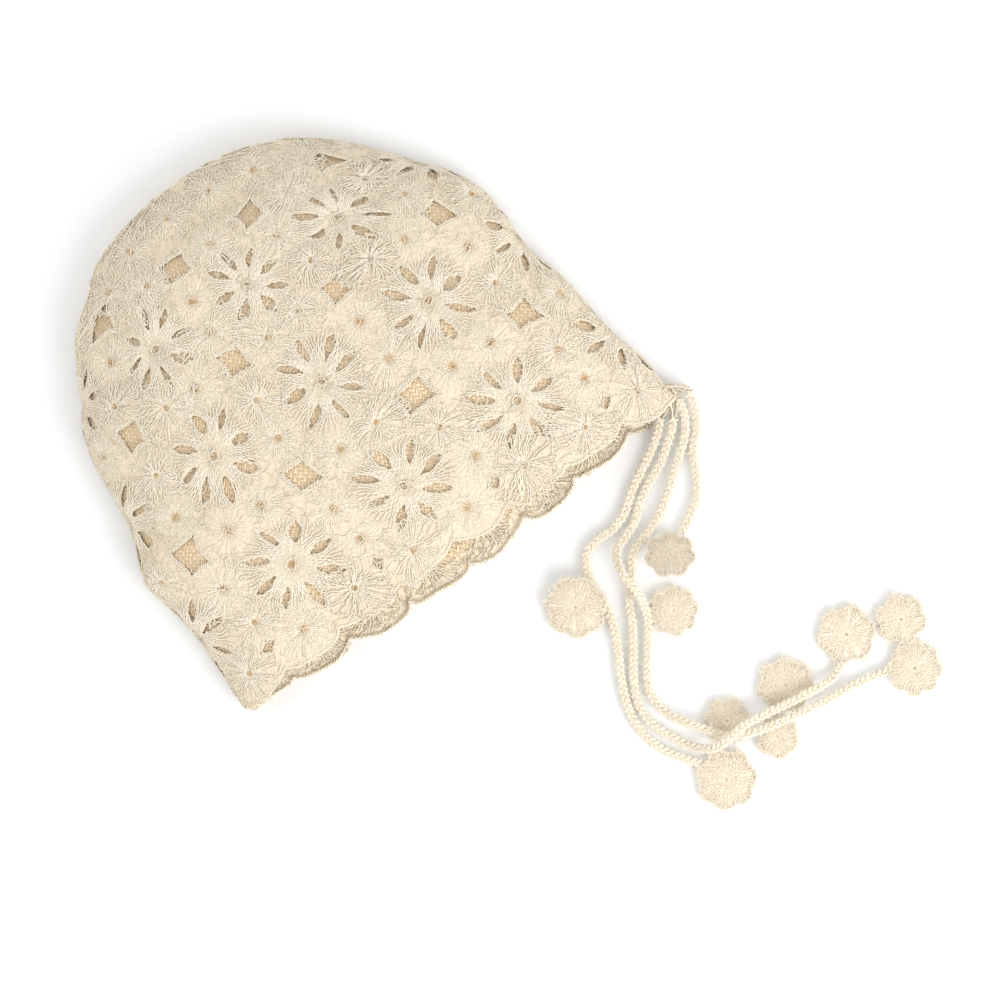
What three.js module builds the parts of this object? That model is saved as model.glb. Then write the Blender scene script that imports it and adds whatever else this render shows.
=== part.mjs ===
// A knitted hat with a crocheted lace cover, lying flat, with four flowered ties.
// Millimetres, +X along the rim towards the ties, +Y from rim to crown, +Z up.
// The origin is under the middle of the cap, on the surface it lies on.
import * as THREE from "three";
import { mergeVertices } from "three/addons/utils/BufferGeometryUtils.js";

// Driving dimensions of the cap as it lies flat
const FLAT_WIDTH = 256.8;       // across the rim, fold to fold
const LOFT = 34;                // height of the upper layer in the middle
const FOLD_RADIUS = 8;          // rounding of the folds on the underside
const PUFF_REACH = 70;          // how far in from the outline the top layer rises
const BACK_DROP = 13;           // the back of the hem hangs this much past the front
const LACE_WALL = 3;
const LINING_WALL = 2;
const WALL_GAP = 1.3;           // between lace and lining
const LINING_SETBACK = 8;       // lining hem above the middle of the lace hem

// Driving dimensions of the crochet pattern
const COLUMNS = 8;              // stars around the head
const ROWS = 3;                 // stars from rim to crown
const MOTIF_PITCH = 65;         // from one row of stars to the next
const CROWN_ROW_PITCH = 54;     // the last row leans back, so it is lower from above
const HEM_TO_STAR = 39;         // hem to the centre of the first star
const CROWN_RISE = 91;          // last full row to the crown's fold
const SCALLOP_DEPTH = 6;        // hem discs below the notches between them
const PETALS = 8;
const STAR_GAP_START = 8.5;     // the gaps between petals start at this radius
const STAR_GAP_LENGTH = 16;
const STAR_GAP_WIDTH = 6;
const SQUARE_GAP_WIDTH = 13.6;  // across the middle of the gap between four discs
const SQUARE_CORNER = 1.4;      // its corners reach out by this much more
const CROWN_GAP_WIDENING = 1.45; // the pattern narrows to the crown, its gaps don't
const HEM_GAP_WIDTH = 7;        // small gap where two hem discs meet the first row
const HEM_GAP_HEIGHT = 15;      // its centre above the hem

// Driving dimensions of the ties and flowers
const TIE_DIAMETER = 5;
const TIE_SIDES = 8;
const TIE_STEP = 12.5;          // length of one straight step along a tie
const FLOWER_THICKNESS = 4;
const FLOWER_PETALS = 8;
const PETAL_NOTCH = 1.6;        // depth of the notches between petals
const FLOWER_DIMPLE = 1;        // how far the flower's centre is sunk
const FLOOR_GAP = 0.2;          // flowers rest this little above the surface

// Worked out from the sizes above
const SHOULDER = HEM_TO_STAR + (ROWS - 1.5) * MOTIF_PITCH;
const CROWN_START = SHOULDER + CROWN_ROW_PITCH;
const FLAT_HEIGHT = SHOULDER + CROWN_RISE;
const HALF_RIM = FLAT_WIDTH / 2;

// The flat outline from rim to crown. Up is a share of FLAT_HEIGHT. Half and shift are
// shares of HALF_RIM: half the width there, and how far its middle is to the side.
const OUTLINE = [
  { up: 0, half: 1.03, shift: 0.034 },
  { up: 0.1, half: 1.015, shift: 0.03 },
  { up: 0.205, half: 0.995, shift: 0.012 },
  { up: 0.33, half: 1.0, shift: -0.018 },
  { up: 0.43, half: 0.945, shift: -0.006 },
  { up: 0.53, half: 0.932, shift: 0.008 },
  { up: 0.61, half: 0.912, shift: 0.006 },
  { up: 0.68, half: 0.862, shift: -0.008 },
  { up: 0.73, half: 0.795, shift: -0.014 },
  { up: 0.79, half: 0.728, shift: -0.026 },
  { up: 0.86, half: 0.63, shift: -0.036 },
  { up: 0.907, half: 0.528, shift: -0.028 },
  { up: 0.953, half: 0.41, shift: -0.04 },
  { up: 1, half: 0, shift: -0.04 },
];

// Height of the upper layer from rim to crown, as a share of LOFT
const PUFF = [
  { up: 0.0, loft: 0.72 },
  { up: 0.25, loft: 0.96 },
  { up: 0.5, loft: 1.0 },
  { up: 0.75, loft: 0.94 },
  { up: 1.0, loft: 0.8 },
];

// Levels round the crown's fold, down from the crown as shares of FOLD_RADIUS
const CROWN_FOLD = [
  { down: 1.9 }, { down: 1.2 }, { down: 0.72 }, { down: 0.35 }, { down: 0.1 }, { down: 0 },
];

// Routes of the ties, chosen by hand along their middles, from the corner of the rim.
// Here and for the flowers, the front hem is at y = 0 and its middle near x = 0.
const TIE_ROUTES = {
  tie_1: [
    [124.2, -8.6, 6.4], [117.6, -14.6, 4.6], [109.6, -20, 2.8], [100, -25, 2.8], [91, -30, 2.8],
    [82, -36.4, 2.8], [72.6, -39.6, 2.8], [63.5, -39.4, 2.8], [55.8, -41.3, 2.8],
    [50.5, -47.8, 2.8], [47.9, -56.3, 2.8], [47.5, -65.3, 2.8], [45.6, -75.5, 2.8],
    [40.7, -87.3, 2.8], [34.1, -99, 2.8], [27.9, -111.7, 2.8], [24.8, -125.3, 2.8],
    [26.4, -138.2, 2.8], [31.8, -149.4, 2.8], [39.2, -159.5, 2.8],
  ],
  tie_2: [
    [129.6, -12.4, 6.4], [123, -18.4, 5], [110.8, -26.9, 2.8], [100.6, -31.6, 2.8],
    [91.2, -36.9, 2.8], [83, -43.4, 2.8], [74.8, -46.6, 2.8], [67.4, -49.7, 4.5],
    [63.3, -59.6, 8.6], [63.8, -71.6, 8.6], [62, -82.5, 4.5], [54.6, -94.3, 2.8],
    [46.1, -105.2, 2.8], [39.9, -115.4, 2.8], [39.5, -126.2, 3.5], [44.8, -137.4, 6.2],
    [51.3, -147, 7.2], [59.1, -156.4, 7.2], [68.8, -161.6, 7.2], [80, -164.8, 7.2],
    [93.6, -168, 7.2], [109.7, -171.1, 3.8], [124.9, -172.9, 2.8], [141.9, -176.9, 2.8],
  ],
  tie_3: [
    [136.8, -6.4, 7.6], [134.4, -15, 6], [128.2, -23.5, 3.9], [119.5, -30.2, 2.8],
    [110.5, -37.2, 2.8], [101.5, -43.6, 2.8], [93, -48.4, 2.8], [84.3, -51.4, 2.8],
    [74.3, -54.7, 2.8], [66.7, -63.3, 2.8], [58.7, -72.7, 2.8], [52.6, -83.6, 2.8],
    [45.7, -93.9, 2.8], [38.1, -104.4, 2.8], [32.2, -116, 2.8], [31.1, -127.5, 2.8],
    [35.2, -139.6, 2.8], [41.1, -150, 4.5], [48.1, -156.4, 9], [56.8, -157.1, 13],
    [66.9, -155.9, 12.6], [76.7, -157.5, 9], [92.8, -160.6, 7.2], [102, -162, 7.2],
    [110.5, -163.2, 6.2], [118, -163.4, 3.4], [124.8, -160.8, 2.8],
  ],
  tie_4: [
    [143, -6, 7.4], [141, -14.4, 5.8], [136.6, -22.4, 4], [127.8, -31.4, 2.8],
    [121.8, -42.5, 2.8], [115.4, -51, 2.8], [106.6, -57.3, 2.8], [98.6, -61.2, 2.8],
  ],
};

// Each flower's middle on the plan, its radius and its lean: lean tips the flower down
// towards the direction low, both in degrees.
const FLOWERS = {
  flower_1: { x: 35.4, y: -60.1, radius: 16, lean: 11.5, low: 180 },
  flower_2: { x: 73.2, y: -90.3, radius: 12.8, lean: 0, low: 0 },
  flower_3: { x: 87.5, y: -67.4, radius: 13, lean: 30, low: 60 },
  flower_4: { x: 45.1, y: -173.6, radius: 15.6, lean: 0, low: 0 },
  flower_5: { x: 96.6, y: -152.8, radius: 14.4, lean: 0, low: 0 },
  flower_6: { x: 135.9, y: -150.3, radius: 15, lean: 0, low: 0 },
  flower_7: { x: 162.4, y: -160.3, radius: 13, lean: 0, low: 0 },
  flower_8: { x: 153.6, y: -184, radius: 14, lean: 0, low: 0 },
  flower_9: { x: 62.4, y: -150.2, radius: 12, lean: 0, low: 0 },
  flower_10: { x: 78.2, y: -171.5, radius: 11.2, lean: 0, low: 0 },
};

const yarn = (color) => new THREE.MeshStandardMaterial({ color, roughness: 0.95, metalness: 0 });
const LACE_YARN = yarn("#f0e4cd");
const LINING_YARN = yarn("#e2c79c");
const TIE_YARN = yarn("#ebe1cd");
const FLOWER_YARN = yarn("#ebdcc8");

// Reads a table along a smooth curve through its rows, and gives value and slope
function readTable(rows, column, at) {
  const share = THREE.MathUtils.clamp(at, rows[0].up, rows[rows.length - 1].up);
  let index = 0;
  while (index < rows.length - 2 && rows[index + 1].up < share) index += 1;
  const slopeAt = (row) => {
    const low = rows[Math.max(row - 1, 0)];
    const high = rows[Math.min(row + 1, rows.length - 1)];
    return (column(high) - column(low)) / (high.up - low.up);
  };
  const start = rows[index];
  const end = rows[index + 1];
  const span = end.up - start.up;
  const t = (share - start.up) / span;
  const rise = column(end) - column(start);
  const bendStart = slopeAt(index) * span - rise;
  const bendEnd = rise - slopeAt(index + 1) * span;
  const bend = bendStart * (1 - t) + bendEnd * t;
  const value = column(start) + rise * t + t * (1 - t) * bend;
  const slope = (rise + (1 - 2 * t) * bend + t * (1 - t) * (bendEnd - bendStart)) / span;
  return { value, slope };
}

// One level of the cap. The squared half width runs evenly down to zero at the crown,
// and pull is half its slope.
function sectionAt(up) {
  const share = up / FLAT_HEIGHT;
  const squared = readTable(OUTLINE, (row) => row.half ** 2, share);
  return {
    half: HALF_RIM * Math.sqrt(Math.max(squared.value, 0)),
    pull: 0.5 * HALF_RIM ** 2 * squared.slope / FLAT_HEIGHT,
    shift: HALF_RIM * readTable(OUTLINE, (row) => row.shift, share).value,
    loft: LOFT * readTable(PUFF, (row) => row.loft, share).value,
  };
}

// The two layers of a section: each is a quarter of an ellipse from the fold inwards
function layerOf(section, isTop) {
  if (isTop) return { reach: PUFF_REACH, rise: section.loft - FOLD_RADIUS };
  return { reach: FOLD_RADIUS, rise: -FOLD_RADIUS };
}

// A turn from 0 in the middle of the front, over the fold at 1, to 2 in the middle of
// the back, becomes a place on the section's loop. Inset is the distance in from the
// outline, and rest is the share of the layer's reach that is still to go.
function loopPoint(section, turn) {
  const isTop = turn <= 1;
  const x = section.half * Math.sin((isTop ? turn : 2 - turn) * Math.PI / 2);
  const slant = Math.hypot(x, section.pull) + Number.EPSILON;
  const inset = Math.max((section.half ** 2 - x ** 2) / (2 * slant), 0);
  const { reach, rise } = layerOf(section, isTop);
  const rest = 1 - Math.min(inset / reach, 1);
  return { x, rest, reach, rise, z: FOLD_RADIUS + rise * Math.sqrt(1 - rest ** 2) };
}

// Lengths along half of a section's loop, so that the motifs spread evenly around it
const LOOP_SAMPLES = 240;
const loops = new Map();
function loopAt(up) {
  if (loops.has(up)) return loops.get(up);
  const section = sectionAt(up);
  const lengths = [0];
  let before = loopPoint(section, 0);
  for (let step = 1; step <= LOOP_SAMPLES; step += 1) {
    const now = loopPoint(section, 2 * step / LOOP_SAMPLES);
    lengths.push(lengths[step - 1] + Math.hypot(now.x - before.x, now.z - before.z));
    before = now;
  }
  loops.set(up, { section, lengths });
  return loops.get(up);
}

const COLUMN_PITCH = 2 * loopAt(HEM_TO_STAR).lengths[LOOP_SAMPLES] / COLUMNS;
const SIDE = COLUMN_PITCH / 2;

// The back of the hem hangs lower than the front, fading out above the first stars
function hemDrop(share, up) {
  const fade = Math.max(0, 1 - Math.max(up, 0) / (HEM_TO_STAR + MOTIF_PITCH)) ** 2;
  return BACK_DROP * ((1 - Math.cos(Math.PI * share)) / 2) ** 1.6 * fade;
}

// Maps the flat pattern onto the cap. Across runs around the head from the middle of
// the front, up runs from rim to crown, and depth goes in through the wall.
function capPoint(across, up, depth) {
  const { section, lengths } = loopAt(up);
  const around = COLUMNS * COLUMN_PITCH;
  const along = across - around * Math.round(across / around);
  const share = Math.min(2 * Math.abs(along) / around, 1);
  const target = share * lengths[LOOP_SAMPLES];
  let step = 1;
  while (step < LOOP_SAMPLES && lengths[step] < target) step += 1;
  const piece = lengths[step] - lengths[step - 1];
  const part = piece > 0 ? (target - lengths[step - 1]) / piece : 0;
  const place = loopPoint(section, 2 * (step - 1 + part) / LOOP_SAMPLES);
  const side = along < 0 ? -1 : 1;

  const outwards = new THREE.Vector2(side * place.x, -section.pull).normalize();
  outwards.multiplyScalar(place.rest / place.reach);
  const upwards = Math.sqrt(1 - place.rest ** 2) / place.rise;
  const normal = new THREE.Vector3(outwards.x, outwards.y, upwards).normalize();
  const point = new THREE.Vector3(section.shift + side * place.x, up - hemDrop(share, up), place.z);
  return point.addScaledVector(normal, -depth);
}

// Joins equal corners and drops triangles that close to a line at the crown
function closedGeometry(positions) {
  const loose = new THREE.BufferGeometry();
  loose.setAttribute("position", new THREE.Float32BufferAttribute(positions, 3));
  const merged = mergeVertices(loose, 1e-3);
  const corners = merged.getIndex().array;
  const kept = [];
  for (let first = 0; first < corners.length; first += 3) {
    const [a, b, c] = corners.subarray(first, first + 3);
    if (a !== b && b !== c && c !== a) kept.push(a, b, c);
  }
  merged.setIndex(kept);
  merged.computeVertexNormals();
  return merged;
}

// A closed wall from flat patches, an outer and an inner skin with walls along every
// free edge. A patch is an outline of points { across, up, isFree }, counter-clockwise,
// where isFree says that the step to the next point is a free edge.
function wallGeometry(patches, outerDepth, innerDepth) {
  const positions = [];
  const addTriangle = (corners) => {
    for (const [point, depth] of corners) {
      positions.push(...capPoint(point.across, point.up, depth).toArray());
    }
  };
  for (const patch of patches) {
    const flat = patch.map((point) => new THREE.Vector2(point.across, point.up));
    for (const triangle of THREE.ShapeUtils.triangulateShape(flat, [])) {
      const corners = triangle.map((index) => patch[index]);
      addTriangle(corners.map((point) => [point, outerDepth]));
      addTriangle(corners.reverse().map((point) => [point, innerDepth]));
    }
    patch.forEach((point, index) => {
      if (!point.isFree) return;
      const next = patch[(index + 1) % patch.length];
      addTriangle([[point, innerDepth], [next, innerDepth], [next, outerDepth]]);
      addTriangle([[point, innerDepth], [next, outerDepth], [point, outerDepth]]);
    });
  }
  return closedGeometry(positions);
}

// Marks the steps within a run of points as free edges
function freeRun(points) {
  points.slice(0, -1).forEach((point) => {
    point.isFree = true;
  });
  return points;
}

const isFoldColumn = (column) => Math.abs(column) === COLUMNS / 4;
const isFrontColumn = (column) => Math.abs(column) < COLUMNS / 4;
const columns = Array.from({ length: COLUMNS }, (_, index) => index - COLUMNS / 2);

// Upright lines of a column, from its middle: the columns on the folds have more of
// them, so that the wall follows the rounding. The outermost clears the widest gap.
const SQUARE_CORNER_REACH = SQUARE_GAP_WIDTH / 2 + SQUARE_CORNER;
const OUTER_LINE = SIDE - 1.05 * CROWN_GAP_WIDENING * SQUARE_CORNER_REACH;
const FOLD_ARC = Math.PI / 2 * FOLD_RADIUS;
function innerLines(column) {
  const half = isFoldColumn(column)
    ? [FOLD_ARC / 3, 2 * FOLD_ARC / 3, FOLD_ARC, (FOLD_ARC + OUTER_LINE) / 2, OUTER_LINE]
    : [OUTER_LINE / 2, OUTER_LINE];
  return [...half.map((line) => -line).reverse(), 0, ...half];
}

// Height of the scalloped hem, two discs to a column with a notch between them
function hemHeight(across) {
  const share = Math.abs(across) % SIDE / SIDE;
  return SCALLOP_DEPTH * (0.5 - Math.sqrt(Math.max(0, 1 - (2 * share - 1) ** 2)));
}
const HEM_STOPS = [0.07, 0.25, 0.5, 0.75, 0.93].map((share) => share * SIDE);
const HEM_LINES = [...HEM_STOPS.map((stop) => -stop).reverse(), 0, ...HEM_STOPS];

// A corner of a patch, plain or cut by a quarter of the gap between four discs, which is
// widened across by the last number. Its points run counter-clockwise around the patch.
function cornerPoints(across, up, intoX, intoY, squeeze, widening) {
  if (widening === 0) return [{ across, up }];
  const points = [
    { across, up: up + intoY * squeeze * SQUARE_GAP_WIDTH / 2 },
    {
      across: across + intoX * widening * SQUARE_CORNER_REACH,
      up: up + intoY * squeeze * SQUARE_CORNER_REACH,
    },
    { across: across + intoX * widening * SQUARE_GAP_WIDTH / 2, up },
  ];
  return freeRun(intoX === intoY ? points : points.reverse());
}

// Points between the corners on an upright line, with the small gap above the hem
function linePoints(row, line, isRising) {
  const groups = row.levels.map((up) => [{ across: line, up }]);
  if (row.isHem && Math.abs(line) === SIDE) {
    const half = HEM_GAP_WIDTH / 2;
    groups[0] = [
      { across: line, up: HEM_GAP_HEIGHT - half },
      { across: line - Math.sign(line) * half, up: HEM_GAP_HEIGHT },
      { across: line, up: HEM_GAP_HEIGHT + half },
    ];
  }
  if (!isRising) {
    groups.reverse();
    groups.forEach((group) => group.reverse());
  }
  return groups.flatMap(freeRun);
}

// Outline of one row of a column between two upright lines, counter-clockwise
function stripOutline(row, left, right, between) {
  const { low, high, squeeze, isHem, gapBelow, gapAbove } = row;
  const onSide = (line, widening) => (Math.abs(line) === SIDE ? widening : 0);
  const hem = [left, ...HEM_LINES.filter((line) => line > left && line < right), right];
  const bottom = isHem
    ? freeRun(hem.map((across) => ({ across, up: hemHeight(across) })))
    : [
      ...cornerPoints(left, low, 1, 1, squeeze, onSide(left, gapBelow)),
      ...between.map((across) => ({ across, up: low })),
      ...cornerPoints(right, low, -1, 1, squeeze, onSide(right, gapBelow)),
    ];
  const top = [
    ...cornerPoints(right, high, -1, -1, squeeze, onSide(right, gapAbove)),
    ...between.map((across) => ({ across, up: high })).reverse(),
    ...cornerPoints(left, high, 1, -1, squeeze, onSide(left, gapAbove)),
  ];
  return [...bottom, ...linePoints(row, right, true), ...top, ...linePoints(row, left, false)];
}

// Half of a diamond gap between two petals, from its inner to its outer tip
const DIAMOND = [
  { along: 0, side: 0 }, { along: 0.36, side: 0.5 }, { along: 0.7, side: 0.5 }, { along: 1, side: 0 },
];
const STAR_RADIUS = STAR_GAP_START + STAR_GAP_LENGTH;
function starPoint(row, angle, radius, aside) {
  const spot = new THREE.Vector2(radius, aside).rotateAround(new THREE.Vector2(), angle);
  return { across: spot.x, up: row.centre + spot.y * row.squeeze };
}
function gapSide(row, angle, hand) {
  return DIAMOND.map(({ along, side }) => (
    starPoint(row, angle, STAR_GAP_START + along * STAR_GAP_LENGTH, hand * side * STAR_GAP_WIDTH)
  ));
}

// A star's cell as petals round the middle, and beyond each petal the ground between the
// star's edge and the cell's own outline
function starPatches(row, outline) {
  const turn = 2 * Math.PI / PETALS;
  const offAngle = (point, angle) => {
    const heading = Math.atan2((point.up - row.centre) / row.squeeze, point.across);
    return Math.abs(Math.atan2(Math.sin(heading - angle), Math.cos(heading - angle)));
  };
  const nearest = (angle) => outline.reduce((best, point, index) => (
    offAngle(point, angle) < offAngle(outline[best], angle) ? index : best
  ), 0);
  const patches = [];
  for (let petal = 0; petal < PETALS; petal += 1) {
    const start = petal * turn;
    const end = start + turn;
    const rising = gapSide(row, start, 1);
    const falling = gapSide(row, end, -1).reverse();
    const tip = starPoint(row, start + turn / 2, STAR_RADIUS, 0);
    patches.push([{ across: 0, up: row.centre }, ...freeRun(rising), tip, ...freeRun(falling)]);

    const last = nearest(end);
    const edge = [];
    for (let index = nearest(start); index !== last; index = (index + 1) % outline.length) {
      edge.push(outline[index]);
    }
    edge.push({ ...outline[last], isFree: false });
    const outerStart = { ...rising[rising.length - 1] };
    const outerEnd = { across: falling[0].across, up: falling[0].up };
    patches.push([outerStart, ...edge, outerEnd, tip]);
  }
  return patches;
}

// Rows of stars, the first of which ends in the hem, and the bands of the plain crown.
// The row that leans back has more levels, because the cap bends more there. The gaps
// at a row's corners are given by their widening, or 0 for none.
const starRows = Array.from({ length: ROWS }, (_, index) => {
  const isLast = index === ROWS - 1;
  const pitch = isLast ? CROWN_ROW_PITCH : MOTIF_PITCH;
  const high = isLast ? CROWN_START : HEM_TO_STAR + (index + 0.5) * MOTIF_PITCH;
  const centre = high - pitch / 2;
  const shares = isLast ? [-0.25, -0.125, 0, 0.125, 0.25] : [-0.25, 0, 0.25];
  const levels = shares.map((share) => centre + share * pitch);
  return {
    isHem: index === 0,
    gapBelow: index > 0 ? 1 : 0,
    gapAbove: isLast ? CROWN_GAP_WIDENING : 1,
    isLast,
    low: high - pitch,
    high,
    centre,
    squeeze: pitch / MOTIF_PITCH,
    levels: index === 0 ? [HEM_GAP_HEIGHT, ...levels] : levels,
  };
});
const crownLevels = CROWN_FOLD.map((row) => FLAT_HEIGHT - row.down * FOLD_RADIUS);
const crownBands = crownLevels.map((high, index) => ({
  isHem: false,
  gapBelow: index === 0 ? CROWN_GAP_WIDENING : 0,
  gapAbove: 0,
  low: index === 0 ? CROWN_START : crownLevels[index - 1],
  high,
  squeeze: CROWN_ROW_PITCH / MOTIF_PITCH,
  levels: [],
}));

// A row as bands from level to level. The first keeps the small gap above the hem.
function bandsOf(row) {
  const cuts = row.isHem ? row.levels.slice(1) : row.levels;
  const stops = [row.low, ...cuts, row.high];
  return stops.slice(1).map((high, index) => ({
    ...row,
    low: stops[index],
    high,
    isHem: row.isHem && index === 0,
    gapBelow: index === 0 ? row.gapBelow : 0,
    gapAbove: index === stops.length - 2 ? row.gapAbove : 0,
    levels: row.isHem && index === 0 ? [HEM_GAP_HEIGHT] : [],
  }));
}

function lacePatches() {
  const patches = [];
  for (const column of columns) {
    const lines = innerLines(column);
    const stops = [-SIDE, ...lines, SIDE];
    const add = (outline) => {
      const across = column * COLUMN_PITCH;
      patches.push(outline.map((point) => ({ ...point, across: point.across + across })));
    };
    const addStrips = (band) => stops.slice(1).forEach((stop, index) => {
      add(stripOutline(band, stops[index], stop, []));
    });
    for (const row of starRows) {
      const outline = stripOutline(row, -SIDE, SIDE, lines);
      if (isFrontColumn(column)) starPatches(row, outline).forEach(add);
      else if (isFoldColumn(column) || row.isLast) bandsOf(row).forEach(addStrips);
      else add(outline);
    }
    crownBands.forEach(addStrips);
  }
  return patches;
}

// The lining follows the lace at a clearance, as a plain bag of straight-sided patches
function liningPatches() {
  const rowLevels = starRows.flatMap((row) => [row.centre, row.high]);
  const levels = [LINING_SETBACK, 0.6 * HEM_TO_STAR, ...rowLevels, ...crownLevels];
  const patches = [];
  for (const column of columns) {
    const half = isFoldColumn(column) ? [FOLD_ARC / 2, FOLD_ARC, SIDE] : [SIDE / 2, SIDE];
    const stops = [...half.map((line) => -line).reverse(), 0, ...half];
    for (let stop = 1; stop < stops.length; stop += 1) {
      const left = column * COLUMN_PITCH + stops[stop - 1];
      const right = column * COLUMN_PITCH + stops[stop];
      for (let level = 1; level < levels.length; level += 1) {
        patches.push([
          { across: left, up: levels[level - 1], isFree: level === 1 },
          { across: right, up: levels[level - 1] },
          { across: right, up: levels[level] },
          { across: left, up: levels[level] },
        ]);
      }
    }
  }
  return patches;
}

// A petalled disc, its underside at z = 0, thin at the rim and sunk in the middle
function flowerGeometry(radius) {
  const rings = [
    { reach: 0.75, z: 0 }, { reach: 1, z: FLOWER_THICKNESS / 2 },
    { reach: 0.75, z: FLOWER_THICKNESS }, { reach: 0.3, z: FLOWER_THICKNESS },
  ];
  const points = 2 * FLOWER_PETALS;
  const ringPoint = ({ reach, z }, index) => {
    const angle = 2 * Math.PI * index / points;
    const distance = reach * (radius - (index % 2) * PETAL_NOTCH);
    return [distance * Math.cos(angle), distance * Math.sin(angle), z];
  };
  const positions = [];
  for (let index = 0; index < points; index += 1) {
    const next = (index + 1) % points;
    positions.push(0, 0, 0, ...ringPoint(rings[0], next), ...ringPoint(rings[0], index));
    for (let ring = 1; ring < rings.length; ring += 1) {
      const [below, above] = [rings[ring - 1], rings[ring]];
      positions.push(...ringPoint(below, index), ...ringPoint(below, next), ...ringPoint(above, next));
      positions.push(...ringPoint(below, index), ...ringPoint(above, next), ...ringPoint(above, index));
    }
    const top = rings[rings.length - 1];
    positions.push(...ringPoint(top, index), ...ringPoint(top, next));
    positions.push(0, 0, FLOWER_THICKNESS - FLOWER_DIMPLE);
  }
  return closedGeometry(positions);
}

function flowerMesh(name, { x, y, radius, lean, low }) {
  const mesh = new THREE.Mesh(flowerGeometry(radius), FLOWER_YARN);
  const tip = THREE.MathUtils.degToRad(lean);
  mesh.name = name;
  mesh.position.set(x, y, FLOOR_GAP + radius * Math.sin(tip));
  mesh.rotation.set(0, tip, THREE.MathUtils.degToRad(low), "ZYX");
  return mesh;
}

function tieMesh(name, points) {
  const route = new THREE.CatmullRomCurve3(points.map((point) => new THREE.Vector3(...point)));
  const section = new THREE.Shape();
  for (let side = 0; side < TIE_SIDES; side += 1) {
    const angle = 2 * Math.PI * side / TIE_SIDES;
    const across = TIE_DIAMETER / 2 * Math.cos(angle);
    const up = TIE_DIAMETER / 2 * Math.sin(angle);
    if (side === 0) section.moveTo(across, up);
    else section.lineTo(across, up);
  }
  section.closePath();
  const steps = Math.round(route.getLength() / TIE_STEP);
  const geometry = new THREE.ExtrudeGeometry(section, { steps, extrudePath: route });
  const mesh = new THREE.Mesh(geometry, TIE_YARN);
  mesh.name = name;
  return mesh;
}

// The cap: the wall of lace, and the lining inside it
function capGroup() {
  const lace = new THREE.Mesh(wallGeometry(lacePatches(), 0, LACE_WALL), LACE_YARN);
  const liningDepth = LACE_WALL + WALL_GAP;
  const lining = new THREE.Mesh(
    wallGeometry(liningPatches(), liningDepth, liningDepth + LINING_WALL),
    LINING_YARN,
  );
  lace.name = "lace_shell";
  lining.name = "knit_lining";
  const cap = new THREE.Group();
  cap.add(lace, lining);
  return cap;
}

// The whole hat, moved so that the middle of the cap's box is over the origin
const hat = new THREE.Group();
const cap = capGroup();
const middle = new THREE.Box3().setFromObject(cap).getCenter(new THREE.Vector3());
hat.add(cap);
for (const [name, points] of Object.entries(TIE_ROUTES)) hat.add(tieMesh(name, points));
for (const [name, flower] of Object.entries(FLOWERS)) hat.add(flowerMesh(name, flower));
const toOrigin = new THREE.Vector3(-middle.x, -middle.y, 0);
for (const piece of hat.children) piece.position.add(toOrigin);

export default hat;
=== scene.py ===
# A knitted hat with a crocheted lace cover, lying flat, with four flowered ties. The lace
# is modelled yarn by yarn over a felted ground. Lengths are in millimetres until a mesh
# is made: X along the rim, Y from the front hem to the crown, Z up from the surface.
import math

import bpy
import numpy as np
from mathutils import Euler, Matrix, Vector


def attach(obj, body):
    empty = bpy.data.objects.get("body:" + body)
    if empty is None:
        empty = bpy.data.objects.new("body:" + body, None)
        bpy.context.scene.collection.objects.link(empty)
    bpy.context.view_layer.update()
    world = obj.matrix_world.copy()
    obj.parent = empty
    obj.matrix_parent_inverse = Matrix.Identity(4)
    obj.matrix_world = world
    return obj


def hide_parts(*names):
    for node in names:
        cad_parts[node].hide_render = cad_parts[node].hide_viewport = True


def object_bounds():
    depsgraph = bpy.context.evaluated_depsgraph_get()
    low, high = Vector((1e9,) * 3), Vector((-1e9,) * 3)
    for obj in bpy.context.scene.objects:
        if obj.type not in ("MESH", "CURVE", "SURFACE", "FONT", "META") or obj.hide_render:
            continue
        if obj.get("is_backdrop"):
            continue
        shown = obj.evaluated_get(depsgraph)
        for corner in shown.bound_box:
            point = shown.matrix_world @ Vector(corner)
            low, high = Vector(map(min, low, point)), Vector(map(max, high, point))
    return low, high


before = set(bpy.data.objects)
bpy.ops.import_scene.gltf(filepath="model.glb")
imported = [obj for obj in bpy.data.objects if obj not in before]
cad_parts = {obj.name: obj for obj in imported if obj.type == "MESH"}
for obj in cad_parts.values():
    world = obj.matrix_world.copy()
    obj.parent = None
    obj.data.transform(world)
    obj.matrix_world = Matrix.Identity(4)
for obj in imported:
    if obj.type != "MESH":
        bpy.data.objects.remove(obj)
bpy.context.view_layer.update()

MM = 0.001
rng = np.random.default_rng(8)

# Sizes of the cap as it lies flat, the same as in the part's source
FLAT_WIDTH = 256.8
LOFT = 34.0
FOLD_RADIUS = 8.0
PUFF_REACH = 70.0
BACK_DROP = 13
LINING_SETBACK = 8.0
COLUMNS = 8
ROWS = 3
MOTIF_PITCH = 65.0
CROWN_ROW_PITCH = 54.0
HEM_TO_STAR = 39.0
CROWN_RISE = 91
SCALLOP_DEPTH = 6.0
PETALS = 8
STAR_GAP_START = 8.5
STAR_GAP_LENGTH = 16
STAR_GAP_WIDTH = 6
SQUARE_HALF = 6.8
SQUARE_CORNER = 1.4
CROWN_GAP_WIDENING = 1.45
HEM_GAP_HALF = 3.5
HEM_GAP_HEIGHT = 15.0
SHOULDER = HEM_TO_STAR + (ROWS - 1.5) * MOTIF_PITCH
CROWN_START = SHOULDER + CROWN_ROW_PITCH
FLAT_HEIGHT = SHOULDER + CROWN_RISE
HALF_RIM = FLAT_WIDTH / 2

# The middle of the cap's box, which goes over the origin
CAP_MIDDLE = np.array([2.867, 105.85, 0.0])

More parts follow.
